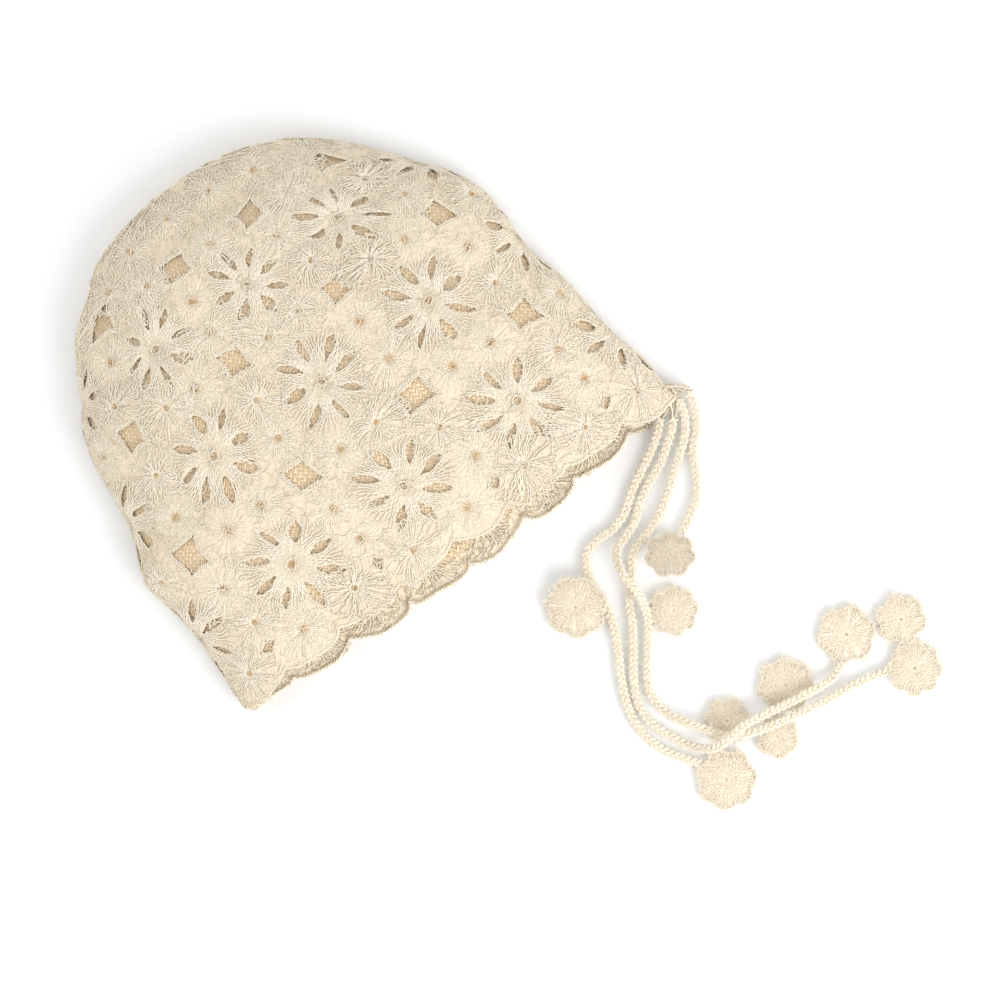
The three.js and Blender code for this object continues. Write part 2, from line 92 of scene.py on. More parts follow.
# Shares of FLAT_HEIGHT and HALF_RIM: height, half width, shift of the middle
OUTLINE_UP = [0, 0.1, 0.205, 0.33, 0.43, 0.53, 0.61, 0.68, 0.73, 0.79, 0.86, 0.907, 0.953, 1]
OUTLINE_HALF = [
    1.03, 1.015, 0.995, 1, 0.945, 0.932, 0.912, 0.862, 0.795, 0.728, 0.63, 0.528, 0.41, 0,
]
OUTLINE_SHIFT = [
    0.034, 0.03, 0.012, -0.018, -0.006, 0.008, 0.006, -0.008, -0.014, -0.026, -0.036,
    -0.028, -0.04, -0.04,
]
PUFF_UP = [0, 0.25, 0.5, 0.75, 1]
PUFF_LOFT = [0.72, 0.96, 1.0, 0.94, 0.8]

PLAIT_PITCH = 9.0
PLAIT_SWING = (1.45, 0.65)
PLY_PITCH = 5.0
PLY_OFFSET = 0.55
PLY_RADIUS = 0.58

# Routes of the ties along their middles. A point without a height rests on the surface.
TIE_REST = 2.8
TIE_ROUTES = {
    "tie_1": [
        (124.2, -8.6, 6.4), (117.6, -14.6, 4.6), (109.6, -20), (100, -25), (91, -30),
        (82, -36.4), (72.6, -39.6), (63.5, -39.4), (55.8, -41.3), (50.5, -47.8), (47.9, -56.3),
        (47.5, -65.3), (45.6, -75.5), (40.7, -87.3), (34.1, -99), (27.9, -111.7),
        (24.8, -125.3), (26.4, -138.2), (31.8, -149.4), (39.2, -159.5),
    ],
    "tie_2": [
        (129.6, -12.4, 6.4), (123, -18.4, 5), (110.8, -26.9), (100.6, -31.6), (91.2, -36.9),
        (83, -43.4), (74.8, -46.6), (67.4, -49.7, 4.5), (63.3, -59.6, 8.6), (63.8, -71.6, 8.6),
        (62, -82.5, 4.5), (54.6, -94.3), (46.1, -105.2), (39.9, -115.4), (39.5, -126.2, 3.5),
        (44.8, -137.4, 6.2), (51.3, -147, 7.2), (59.1, -156.4, 7.2), (68.8, -161.6, 7.2),
        (80, -164.8, 7.2), (93.6, -168, 7.2), (109.7, -171.1, 3.8), (124.9, -172.9),
        (141.9, -176.9),
    ],
    "tie_3": [
        (136.8, -6.4, 7.6), (134.4, -15, 6), (128.2, -23.5, 3.9), (119.5, -30.2),
        (110.5, -37.2), (101.5, -43.6), (93, -48.4), (84.3, -51.4), (74.3, -54.7),
        (66.7, -63.3), (58.7, -72.7), (52.6, -83.6), (45.7, -93.9), (38.1, -104.4),
        (32.2, -116), (31.1, -127.5), (35.2, -139.6), (41.1, -150, 4.5), (48.1, -156.4, 9),
        (56.8, -157.1, 13), (66.9, -155.9, 12.6), (76.7, -157.5, 9), (92.8, -160.6, 7.2),
        (102, -162, 7.2), (110.5, -163.2, 6.2), (118, -163.4, 3.4), (124.8, -160.8),
    ],
    "tie_4": [
        (143, -6, 7.4), (141, -14.4, 5.8), (136.6, -22.4, 4), (127.8, -31.4), (121.8, -42.5),
        (115.4, -51), (106.6, -57.3), (98.6, -61.2),
    ],
}

# Flowers: middle on the plan, radius, and lean down towards the direction low, in degrees
FLOWERS = {
    "flower_1": (35.4, -60.1, 16, 11.5, 180),
    "flower_2": (73.2, -90.3, 12.8, 0, 0),
    "flower_3": (87.5, -67.4, 13, 30, 60),
    "flower_4": (45.1, -173.6, 15.6, 0, 0),
    "flower_5": (96.6, -152.8, 14.4, 0, 0),
    "flower_6": (135.9, -150.3, 15, 0, 0),
    "flower_7": (162.4, -160.3, 13, 0, 0),
    "flower_8": (153.6, -184, 14, 0, 0),
    "flower_9": (62.4, -150.2, 12, 0, 0),
    "flower_10": (78.2, -171.5, 11.2, 0, 0),
}


def add_object(name, data):
    made = bpy.data.objects.new(name, data)
    bpy.context.scene.collection.objects.link(made)
    return made


# Camera, straight above the middle of the view

CAMERA_PLACE = np.array([35.7, 5.2, 1510.0])
CAMERA_TURN = -36
camera_data = bpy.data.cameras.new("camera")
camera = add_object("camera", camera_data)
bpy.context.scene.camera = camera
camera_data.lens = 109
camera_data.sensor_width = 36
camera.location = (CAMERA_PLACE - CAP_MIDDLE) * MM
camera.rotation_euler = (0, 0, math.radians(CAMERA_TURN))


# Materials

YARN_TWIST = 2.2
STITCH_WIDE = 3.1
STITCH_HIGH = 2.6
MOTIF_MIDDLE = (0.95, 0.74, 0.50)

# Sockets of the Mix node that carry colours
MIX_FIRST, MIX_SECOND, MIX_RESULT = 6, 7, 2


class Surface:
    """A matt material, and steps that add nodes to it."""

    def __init__(self, name, colour):
        self.material = bpy.data.materials.new(name)
        self.material.use_nodes = True
        self.nodes = self.material.node_tree.nodes
        self.shader = self.nodes["Principled BSDF"]
        self.shader.inputs["Base Color"].default_value = (*colour, 1)
        self.shader.inputs["Roughness"].default_value = 0.9
        self.shader.inputs["Specular IOR Level"].default_value = 0.1

    def link(self, output, socket):
        self.material.node_tree.links.new(output, socket)

    def node(self, kind, inputs, **settings):
        """Adds a node. Its inputs are numbers, or outputs of other nodes to link to them."""
        node = self.nodes.new(kind)
        for setting, value in settings.items():
            setattr(node, setting, value)
        for socket, value in inputs.items():
            if isinstance(value, (int, float)):
                node.inputs[socket].default_value = value
            else:
                self.link(value, node.inputs[socket])
        return node

    def maths(self, operation, *values):
        inputs = dict(enumerate(values))
        return self.node("ShaderNodeMath", inputs, operation=operation).outputs[0]

    def times_plus(self, value, factor, added):
        return self.maths("MULTIPLY_ADD", value, factor, added)

    def ridges(self, value, pitch):
        """Rounded ridges, one to each pitch."""
        turn = self.maths("MULTIPLY", value, math.pi / pitch)
        return self.maths("ABSOLUTE", self.maths("SINE", turn))

    def noise(self, scale, detail):
        place = self.nodes.new("ShaderNodeTexCoord").outputs["Object"]
        inputs = {"Scale": scale, "Detail": detail, "Vector": place}
        return self.node("ShaderNodeTexNoise", inputs).outputs["Fac"]

    def yarn_places(self):
        uv = self.node("ShaderNodeUVMap", {}, uv_map="yarn")
        split = self.node("ShaderNodeSeparateXYZ", {"Vector": uv.outputs["UV"]})
        return split.outputs["X"], split.outputs["Y"]

    def ramp(self, factor, deep, colour, low, high):
        ramp = self.node("ShaderNodeValToRGB", {"Fac": factor})
        first, second = ramp.color_ramp.elements
        first.position = low
        first.color = (*deep, 1)
        second.position = high
        second.color = (*colour, 1)
        return ramp.outputs["Color"]

    def multiplied(self, first, second):
        inputs = {"Factor": 1, MIX_FIRST: first, MIX_SECOND: second}
        mix = self.node("ShaderNodeMix", inputs, data_type="RGBA", blend_type="MULTIPLY")
        return mix.outputs[MIX_RESULT]

    def toned(self, colour):
        """The colour multiplied by each vertex's own tone."""
        tone = self.node("ShaderNodeAttribute", {}, attribute_name="tone")
        return self.multiplied(colour, tone.outputs["Color"])

    def finished(self, colour, height, strength, distance):
        """Takes on a colour and a fine relief."""
        inputs = {"Strength": strength, "Distance": distance, "Height": height}
        bump = self.node("ShaderNodeBump", inputs)
        self.link(bump.outputs["Normal"], self.shader.inputs["Normal"])
        self.link(colour, self.shader.inputs["Base Color"])
        return self.material


def yarn_material(name, colour, deep):
    """Soft yarn: twisted plies, a mottled tone and a fibrous surface."""
    wool = Surface(name, colour)
    fibre = wool.noise(620, 3)
    blend = wool.times_plus(fibre, 0.6, 0.1)
    blend = wool.times_plus(wool.noise(60, 2), 0.4, blend)
    tint = wool.toned(wool.ramp(blend, deep, colour, 0.25, 0.7))
    along, turn = wool.yarn_places()
    wave = wool.maths("MULTIPLY", along, 2 * math.pi / YARN_TWIST)
    twist = wool.maths("SINE", wool.times_plus(turn, 4 * math.pi, wave))
    return wool.finished(tint, wool.times_plus(twist, 0.3, fibre), 0.5, 0.0003)


def felt_material_with_painted_shade(name, colour, deep):
    """Felted crochet: radial stitches round each motif, under a fibrous nap."""
    wool = Surface(name, colour)
    fibre = wool.noise(700, 4)
    curls = wool.noise(230, 2)
    outwards, stitch = wool.yarn_places()
    ridge = wool.ridges(wool.times_plus(curls, 0.9, stitch), 1)
    ring = wool.ridges(wool.times_plus(curls, 2.5, outwards), 4.2)
    height = wool.times_plus(ridge, 0.55, fibre)
    height = wool.times_plus(ring, 0.25, height)
    # The colour darkens where the relief is low: painted shade in the grooves between stitches,
    # mixed with a random mottle.
    blend = wool.times_plus(height, 0.42, -0.06)
    blend = wool.times_plus(wool.noise(45, 2), 0.45, blend)
    tint = wool.ramp(blend, deep, colour, 0.25, 0.72)
    middle = wool.maths("MULTIPLY", outwards, 0.2)
    middle = wool.ramp(middle, MOTIF_MIDDLE, (1, 1, 1), 0.28, 0.6)
    return wool.finished(wool.toned(wool.multiplied(tint, middle)), height, 0.7, 0.0008)


def knit_material_with_painted_shade(name, colour, deep):
    """Plain knit: columns of V stitches, from the sheet's own length and rise."""
    wool = Surface(name, colour)
    along, rise = wool.yarn_places()
    along = wool.times_plus(wool.noise(160, 2), 0.9, along)
    wale = wool.maths("FRACT", wool.maths("DIVIDE", along, STITCH_WIDE))
    off = wool.maths("ABSOLUTE", wool.maths("SUBTRACT", wale, 0.5))
    leg = wool.maths("MULTIPLY", off, 2.0)
    course = wool.maths("DIVIDE", rise, STITCH_HIGH)
    bulge = wool.ridges(wool.times_plus(leg, -0.9, course), 1)
    turn = wool.times_plus(leg, 0.72 * math.pi, 0.28 * math.pi)
    across = wool.maths("POWER", wool.maths("SINE", turn), 0.5)
    height = wool.maths("MULTIPLY", bulge, across)
    height = wool.times_plus(wool.noise(520, 3), 0.5, height)
    # The colour follows the relief, darkest in the dips between stitches: painted shade in the
    # grooves.
    tint = wool.ramp(height, deep, colour, 0.15, 0.95)
    return wool.finished(tint, height, 0.8, 0.0009)


LACE = yarn_material("lace_wool", (0.93, 0.855, 0.715), (0.905, 0.805, 0.645))
# The back hem's inner face is painted paler than the lace: painted light, to make up for the shade
# under the front hem.
PAINTED_LIGHT_HEM = yarn_material("hem_wool_painted_light", (0.985, 0.905, 0.755), (0.965, 0.86, 0.69))
# The felted ground is the same yarn as the lace; its darker tan is painted shade, for the depths
# between the strands.
GROUND_PAINTED_SHADE = felt_material_with_painted_shade("lace_felt_painted_shade", (0.84, 0.745, 0.59), (0.80, 0.68, 0.51))
TIE = yarn_material("tie_wool", (0.94, 0.87, 0.735), (0.89, 0.80, 0.645))
FLOWER = yarn_material("flower_wool", (0.96, 0.865, 0.725), (0.92, 0.80, 0.65))
# The lining's deep colour is painted shade, used in the grooves of its knit.
LINING = knit_material_with_painted_shade("lining_wool", (0.98, 0.80, 0.56), (0.78, 0.56, 0.33))
MOHAIR = Surface("mohair", (0.96, 0.90, 0.775)).material


# Lines, grids and turns


def unit(vectors):
    return vectors / (np.linalg.norm(vectors, axis=-1, keepdims=True) + 1e-9)


def length_along(points):
    """Length from a line's first point to each of its points."""
    steps = np.linalg.norm(np.diff(points, axis=-2), axis=-1)
    return np.concatenate([np.zeros_like(steps[..., :1]), np.cumsum(steps, axis=-1)], axis=-1)


def cells(grid):
    """The four corners of each cell of a grid, in order."""
    return np.stack([grid[:-1, :-1], grid[:-1, 1:], grid[1:, 1:], grid[1:, :-1]], axis=2)


def turned(x, y, angle):
    return x * math.cos(angle) - y * math.sin(angle), x * math.sin(angle) + y * math.cos(angle)


def place_round(to_space, radial, angle, height):
    """Places points that are given by distance and angle."""
    return to_space(radial * np.cos(angle), radial * np.sin(angle), height)


# The flat pattern mapped onto the cap


def table_curve(ups, values, at):
    """A smooth curve through a table, as its value and slope."""
    ups = np.asarray(ups, float)
    values = np.asarray(values, float)
    at = np.clip(at, ups[0], ups[-1])
    index = np.minimum(np.searchsorted(ups[1:], at, side="left"), len(ups) - 2)
    low = np.maximum(np.arange(len(ups)) - 1, 0)
    high = np.minimum(np.arange(len(ups)) + 1, len(ups) - 1)
    slopes = (values[high] - values[low]) / (ups[high] - ups[low])
    span = ups[index + 1] - ups[index]
    t = (at - ups[index]) / span
    rise = values[index + 1] - values[index]
    bend_start = slopes[index] * span - rise
    bend_end = rise - slopes[index + 1] * span
    bend = bend_start * (1 - t) + bend_end * t
    value = values[index] + rise * t + t * (1 - t) * bend
    slope = (rise + (1 - 2 * t) * bend + t * (1 - t) * (bend_end - bend_start)) / span
    return value, slope


def section(up):
    """Half width, its pull, the loft and the shift of the cap at each height."""
    share = up / FLAT_HEIGHT
    squared, slope = table_curve(OUTLINE_UP, np.square(OUTLINE_HALF), share)
    half = HALF_RIM * np.sqrt(np.maximum(squared, 0))
    pull = 0.5 * HALF_RIM**2 * slope / FLAT_HEIGHT
    loft = LOFT * table_curve(PUFF_UP, PUFF_LOFT, share)[0]
    shift = HALF_RIM * table_curve(OUTLINE_UP, OUTLINE_SHIFT, share)[0]
    return half, pull, loft, shift


def layer(x, half, pull, reach, rise):
    """Height and normal of a layer that curves in from the outline like an ellipse."""
    slant = np.hypot(x, pull) + 1e-9
    inset = np.maximum((half**2 - x**2) / (2 * slant), 0)
    rest = 1 - np.minimum(inset / reach, 1)
    arch = np.sqrt(np.maximum(1 - rest**2, 0))
    normal = np.stack([x / slant * rest / reach, -pull / slant * rest / reach, arch / rise], -1)
    return FOLD_RADIUS + rise * arch, unit(normal)


class Cap:
    """Maps across, up and height, in pattern millimetres, to points."""

    LOOP_STEPS = 240
    LEVEL_STEP = 1.0
    CROWN_FROM = 205.0
    FLOOR = 0.6

    # Waves of the handwork: size, waves around, waves up and phase
    ASIDE_WAVES = [(0.9, 13, 0.8, 1.0), (0.7, 7, -1.7, 4.0), (0.4, 29, 2.3, 0.0)]
    LIFT_WAVES = [(0.9, 11, -0.9, 2.0), (0.5, 23, 1.9, 0.0)]

    def __init__(self):
        low_levels = np.arange(-10.0, self.CROWN_FROM, self.LEVEL_STEP)
        crown_steps = np.linspace(math.sqrt(FLAT_HEIGHT - self.CROWN_FROM), 0, 90)
        self.levels = np.concatenate([low_levels, FLAT_HEIGHT - crown_steps**2])
        half, pull, loft, shift = (value[:, None] for value in section(self.levels))
        sizes = half, pull, loft
        turns = np.linspace(0, 2, self.LOOP_STEPS + 1)[None, :]
        x, z, _ = self.loop(turns, *sizes)
        lengths = length_along(np.stack([x, z], axis=-1))
        even = np.linspace(0, 1, self.LOOP_STEPS + 1)
        spread = np.array([np.interp(even * row[-1], row, turns[0]) for row in lengths])
        x, z, normal = self.loop(spread, *sizes)
        shift = np.broadcast_to(shift, x.shape)[..., None]
        self.grid = np.concatenate([x[..., None], z[..., None], normal, shift], axis=2)
        self.around = 2 * np.interp(HEM_TO_STAR, self.levels, lengths[:, -1])

    def loop(self, turns, half, pull, loft):
        is_top = turns <= 1
        x = half * np.sin(np.where(is_top, turns, 2 - turns) * math.pi / 2)
        reach = np.where(is_top, PUFF_REACH, FOLD_RADIUS)
        rise = np.where(is_top, loft - FOLD_RADIUS, -FOLD_RADIUS)
        z, normal = layer(x, half, pull, reach, rise)
        return x, z, normal

    def hem_drop(self, share, up):
        fade = np.maximum(0, 1 - np.maximum(up, 0) / (HEM_TO_STAR + MOTIF_PITCH)) ** 2
        return BACK_DROP * ((1 - np.cos(np.pi * share)) / 2) ** 1.6 * fade

    def uneven(self, across, up):
        """Handwork is uneven: moves a place by a millimetre or so."""
        turn = 2 * np.pi * across / self.around
        rise = up / 9.0

        def waves(rows):
            return sum(size * np.sin(a * turn + b * rise + phase) for size, a, b, phase in rows)

        fade = np.clip((FLAT_HEIGHT - up) / 30, 0, 1)
        return across + waves(self.ASIDE_WAVES), up + waves(self.LIFT_WAVES) * fade

    def look_up(self, across, up):
        """Point and normal of the lace's outer surface."""
        across, up = np.broadcast_arrays(np.asarray(across, float), np.asarray(up, float))
        across, up = self.uneven(across, up)
        along = across - self.around * np.round(across / self.around)
        share = np.minimum(2 * np.abs(along) / self.around, 1)
        side = np.where(along < 0, -1.0, 1.0)
        up_in = np.clip(up, self.levels[0], FLAT_HEIGHT - 0.02)
        row = np.clip(np.searchsorted(self.levels, up_in) - 1, 0, len(self.levels) - 2)
        v = (up_in - self.levels[row]) / (self.levels[row + 1] - self.levels[row])
        place = share * self.LOOP_STEPS
        column = np.minimum(place.astype(int), self.LOOP_STEPS - 1)
        u = (place - column)[..., None]
        v = v[..., None]
        low = self.grid[row, column] * (1 - u) + self.grid[row, column + 1] * u
        high = self.grid[row + 1, column] * (1 - u) + self.grid[row + 1, column + 1] * u
        found = low * (1 - v) + high * v
        x = found[..., 5] + side * found[..., 0]
        point = np.stack([x, up - self.hem_drop(share, up), found[..., 1]], axis=-1)
        normal = found[..., 2:5].copy()
        normal[..., 0] *= side
        return point, unit(normal)

    def place(self, across, up, height):
        point, normal = self.look_up(across, up)
        return self.raised(point, normal, height)

    def place_on_plan(self, x, y, height):
        """A place on the top layer, from above."""
        y = np.minimum(y, FLAT_HEIGHT - 1.5)
        half, pull, loft, shift = section(y)
        x_in = np.clip(x - shift, -half + 1, half - 1)
        z, normal = layer(x_in, half, pull, PUFF_REACH, loft - FOLD_RADIUS)
        return self.raised(np.stack([x_in + shift, y, z], axis=-1), normal, height)

    def raised(self, point, normal, height):
        point = point + normal * np.asarray(height)[..., None]
        point[..., 2] = np.maximum(point[..., 2], self.FLOOR)
        return point, normal


cap = Cap()
COLUMN_PITCH = cap.around / COLUMNS
SIDE = COLUMN_PITCH / 2
INSIDE_DEPTH = 1.9


def flat_patch(across, up, is_inside=False):
    """A small patch of the cap around a point, that turns real offsets into points."""
    step = 0.5
    _, normal = cap.look_up(across, up)
    along = (cap.look_up(across + step, up)[0] - cap.look_up(across - step, up)[0]) / (2 * step)
    rise = (cap.look_up(across, up + step)[0] - cap.look_up(across, up - step)[0]) / (2 * step)
    first = unit(along)
    second = unit(np.cross(normal, first))
    jacobian = np.array([[along @ first, rise @ first], [along @ second, rise @ second]])
    inverse = np.linalg.inv(jacobian)

    def to_cap(x, y, height):
        offset_across = inverse[0, 0] * x + inverse[0, 1] * y
        offset_up = inverse[1, 0] * x + inverse[1, 1] * y
        if not is_inside:
            return cap.place(across + offset_across, up + offset_up, height)
        depth = INSIDE_DEPTH + height
        points, normals = cap.place(across + offset_across, up + offset_up, -depth)
        return points, -normals

    return to_cap


def plan_patch(x0, y0):
    def to_cap(x, y, height):
        return cap.place_on_plan(x0 + x, y0 + y, height)

    return to_cap


def hem_height(across):
    """Height of the scalloped hem, two discs to a column with a notch between them."""
    share = np.mod(np.abs(across), SIDE) / SIDE
    return SCALLOP_DEPTH * (0.5 - np.sqrt(np.maximum(0, 1 - (2 * share - 1) ** 2)))


# Meshes gathered from tubes and sheets

# Radii of the yarns
LOOP_YARN = 0.36
RING_YARN = 0.4
CHAIN_YARN = 0.33
RIM_YARN = 0.42
CURL_YARN = 0.27
GATHER_YARN = 0.5


class Piece:
    """Gathers quads, with a length-and-turn UV and a tone for each vertex's yarn.

    Its seeds are places and normals where fine fibres can start.
    """

    def __init__(self):
        self.parts = []
        self.count = 0
        self.seeds = []

    def add(self, points, faces, uvs, tones):
        self.parts.append((points, faces + self.count, uvs, tones))
        self.count += len(points)

    def tubes(self, paths, normals, radius, sides=3, tone=1.0):
        """Tubes along paths (n, m, 3), or one path. Normals point out of the fabric."""
        paths = np.reshape(paths, (-1, *np.shape(paths)[-2:]))
        count, length, _ = paths.shape
        normals = np.broadcast_to(normals, paths.shape)
        radius = np.broadcast_to(radius, (count, length))
        tangents = unit(np.gradient(paths, axis=1))
        sideways = unit(np.cross(tangents, normals))
        upwards = np.cross(sideways, tangents)
        angle = 2 * np.pi * (np.arange(sides) + 0.25) / sides
        ring = np.cos(angle)[:, None] * sideways[:, :, None]
        ring = ring + np.sin(angle)[:, None] * upwards[:, :, None]
        points = paths[:, :, None] + ring * radius[:, :, None, None]
        run = length_along(paths)
        index = np.arange(count * length * sides).reshape(count, length, sides)
        after = np.roll(index, -1, axis=2)
        faces = np.stack([index[:, :-1], index[:, 1:], after[:, 1:], after[:, :-1]], axis=3)
        turn = np.arange(sides)[:, None] / sides
        uvs = np.empty((*faces.shape, 2))
        uvs[..., [0, 3], 0] = run[:, :-1, None, None]
        uvs[..., [1, 2], 0] = run[:, 1:, None, None]
        uvs[..., :2, 1] = turn
        uvs[..., 2:, 1] = turn + 1 / sides
        tones = np.broadcast_to(np.reshape(tone, (-1, 1, 1)), index.shape).ravel()
        self.add(points.reshape(-1, 3), faces.reshape(-1, 4), uvs.reshape(-1, 2), tones)
        self.seeds.append((paths.reshape(-1, 3), normals.reshape(-1, 3)))

    def sheet(self, points, tone=1.0, is_closed=False, places=None):
        """A grid of points (rows, columns, 3) as a sheet, with a UV place for each."""
        rows, columns, _ = points.shape
        index = np.arange(rows * columns).reshape(rows, columns)
        if is_closed:
            index = np.concatenate([index, index[:, :1]], axis=1)
        if places is None:
            places = np.zeros((*index.shape, 2))
        faces = cells(index).reshape(-1, 4)
        uvs = cells(places).reshape(-1, 2)
        self.add(points.reshape(-1, 3), faces, uvs, np.full(rows * columns, tone))

    def make(self, name, material):
        points, faces, uvs, tones = (np.concatenate(column) for column in zip(*self.parts))
        points = (points - CAP_MIDDLE) * MM
        mesh = bpy.data.meshes.new(name)
        mesh.vertices.add(len(points))
        mesh.vertices.foreach_set("co", points.astype(np.float32).ravel())
        mesh.loops.add(faces.size)
        mesh.loops.foreach_set("vertex_index", faces.astype(np.int32).ravel())
        mesh.polygons.add(len(faces))
        mesh.polygons.foreach_set("loop_start", np.arange(0, faces.size, 4, dtype=np.int32))
        mesh.update(calc_edges=True)
        uv_layer = mesh.uv_layers.new(name="yarn")
        uv_layer.data.foreach_set("uv", uvs.astype(np.float32).ravel())
        colours = np.ones((len(points), 4), np.float32)
        colours[:, :3] = tones[:, None]
        tone = mesh.color_attributes.new("tone", "FLOAT_COLOR", "POINT")
        tone.data.foreach_set("color", colours.ravel())
        mesh.polygons.foreach_set("use_smooth", np.ones(len(faces), bool))
        mesh.materials.append(material)
        mesh.validate()
        piece = add_object(name, mesh)
        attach(piece, "root")
        return piece


def random_tones(count, spread=0.04):
    return 1 + spread * rng.standard_normal(count)


# Ties: three yarns of several plies, plaited along each route


def mixed(t, start, end, first, last):
    return ((end - t) * first + (t - start) * last) / (end - start)


def smooth_route(points, step):
    """A Catmull-Rom curve through the points, at even steps."""
    points = np.asarray(points, float)
    padded = np.vstack([2 * points[0] - points[1], points, 2 * points[-1] - points[-2]])
    fine = []
    for a, b, c, d in zip(padded[:-3], padded[1:-2], padded[2:-1], padded[3:]):
        gaps = [np.linalg.norm(q - p) ** 0.5 for p, q in ((a, b), (b, c), (c, d))]
        t0, t1, t2, t3 = np.cumsum([0] + gaps)
        t = np.linspace(t1, t2, 16, endpoint=False)[:, None]
        middle = mixed(t, t1, t2, b, c)
        before = mixed(t, t0, t2, mixed(t, t0, t1, a, b), middle)
        after = mixed(t, t1, t3, middle, mixed(t, t2, t3, c, d))
        fine.append(mixed(t, t1, t2, before, after))
    fine = np.vstack(fine + [points[-1:]])
    lengths = length_along(fine)
    even = np.linspace(0, lengths[-1], max(int(round(lengths[-1] / step)), 2))
    return np.stack([np.interp(even, lengths, fine[:, k]) for k in range(3)], 1), lengths[-1]


def tie_mesh(line, long):
    """A chain of crochet stitches, as three plaited strands of three plies each."""
    piece = Piece()
    tangent = unit(np.gradient(line, axis=0))
    sideways = unit(np.cross(tangent, (0, 0, 1)))
    upwards = np.cross(sideways, tangent)
    run = np.linspace(0, long, len(line))
    strands = []
    for strand in range(3):
        turn = 2 * np.pi * (run / PLAIT_PITCH + strand / 3)
        for ply in range(3):
            twist = 2 * np.pi * (run / PLY_PITCH + ply / 3) + strand
            x = PLAIT_SWING[0] * np.sin(turn) + PLY_OFFSET * np.cos(twist)
            x = x + 0.1 * rng.standard_normal(len(run))
            y = PLAIT_SWING[1] * np.sin(2 * turn) + PLY_OFFSET * np.sin(twist)
            strands.append(line + sideways * x[:, None] + upwards * y[:, None])
    strands = np.array(strands)
    strands[..., 2] = np.maximum(strands[..., 2], 0.75)
    piece.tubes(strands, upwards, PLY_RADIUS, sides=4, tone=random_tones(9, 0.03))
    return piece


fuzz_sources = []
tie_starts = []
for tie, route in TIE_ROUTES.items():
    line, long = smooth_route([(*point, TIE_REST)[:3] for point in route], 1.0)
    tie_starts.append(line[0])
    gathered = tie_mesh(line, long)
    fuzz_sources.append(gathered)
    made = gathered.make(f"{tie}_cord", TIE)
    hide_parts(tie)


# Crochet: discs, stars, squares and hems


def disc_height(share):
    """Rises from the sunk middle, then falls off gently to the edge."""
    rise = np.clip(share / 0.4, 0, 1)
    fall = np.clip((share - 0.5) / 0.5, 0, 1)
    return -0.9 + 1.3 * rise * (2 - rise) - 0.5 * fall**2


def crochet_disc(piece, to_space, edge_radius, posts=17, lift=0.0, spin=0.0, hole=1.5, plies=2):
    """Wavy radial stitches and a looped edge, both of one or two plies."""
    steps = 8
    angles = spin + 2 * np.pi * (np.arange(posts) + 0.2 * rng.standard_normal(posts)) / posts
    t = np.linspace(0, 1, steps)[None, :]
    for hand in np.linspace(-1, 1, plies):
        reach = edge_radius(angles)[:, None] - 0.9 + 0.5 * rng.standard_normal((posts, 1))
        radial = hole + (reach - hole) * t
        aside = hand * (0.2 + 0.6 * t)
        wave = 2 * np.pi * (radial / 3.8 + rng.random((posts, 1)))
        aside = aside + 0.42 * np.sin(wave) * np.clip(t * 1.6, 0, 1)
        aside = aside + 0.2 * rng.standard_normal((posts, steps)) * t
        heading = angles[:, None] + aside / np.maximum(radial, 1.8)
        height = lift + disc_height(t) + 0.15 * np.cos(wave) - 0.3
        points, outwards = place_round(to_space, radial, heading, height)
        thick = 0.26 + 0.14 * np.sin(np.pi * np.clip(t * 0.9 + 0.08, 0, 1))
        piece.tubes(points, outwards, thick, tone=random_tones(posts))

    loops = posts + 4
    beads = loops * 4
    around = spin + np.linspace(0, 2 * np.pi, beads + 1)
    for phase, inwards in ((0.0, 0.8), (2.2, 1.6))[:plies]:
        wave = loops * (around - spin) + phase
        radial = edge_radius(around) - inwards + 0.75 * np.sin(wave)
        radial = radial + 0.25 * rng.standard_normal(beads + 1)
        radial[-1] = radial[0]
        height = lift - 0.5 + 0.25 * np.cos(wave)
        points, outwards = place_round(to_space, radial, around, height)
        piece.tubes(points, outwards, LOOP_YARN, tone=1.02)


# Half width of a star's petal by distance from the middle
PETAL_HALF = [2.1, 5, 8.5, 16, 20, 24.5, 27], [0.7, 1.6, 2.7, 3.0, 5.0, 8.0, 8.6]
PETAL_START = 2.1
PETAL_REACH = 25.5


def petal_strands(piece, star_place, angle, strands):
    """A star's petal: long wavy stitches that close up between the gaps and fan out."""
    t = np.linspace(0, 1, 11)[None, :]
    order = np.linspace(-1, 1, strands)[:, None]
    long = PETAL_REACH - PETAL_START + 1.4 * rng.standard_normal((strands, 1))
    radial = PETAL_START + long * t
    half = np.interp(radial, *PETAL_HALF)
    wave = 2 * np.pi * (radial / 4.4 + rng.random((strands, 1)))
    aside = order * half + 0.42 * np.sin(wave) * np.clip(radial / 8, 0.2, 1)
    height = disc_height(t * 0.9) - 0.25 + 0.18 * np.cos(wave) - 0.15 * np.abs(order)
    points, normals = star_place(*turned(radial, aside, angle), height)
    thick = 0.3 + 0.14 * np.sin(np.pi * np.clip(t + 0.12, 0, 1))
    piece.tubes(points, normals, thick, tone=random_tones(strands))


CHAIN_PITCH = 3.2
CHAIN_SWING = 0.55


def chain_line(piece, place, across, up, height, thick=CHAIN_YARN):
    """Two yarns that cross over and over along a line, as a crochet chain."""
    lengths = length_along(np.stack([across, up], axis=-1))
    steps = max(int(lengths[-1] / 0.8), 4)
    even = np.linspace(0, lengths[-1], steps)
    a = np.interp(even, lengths, across) + 0.2 * rng.standard_normal(steps)
    u = np.interp(even, lengths, up) + 0.2 * rng.standard_normal(steps)
    da, du = np.gradient(a), np.gradient(u)
    size = np.hypot(da, du) + 1e-9
    for phase in (0.0, np.pi):
        wave = 2 * np.pi * even / CHAIN_PITCH + phase
        swung = CHAIN_SWING * np.sin(wave)
        points, normals = place(
            a - du / size * swung, u + da / size * swung, height + 0.25 * np.cos(wave)
        )
        piece.tubes(points, normals, thick, tone=1.03)


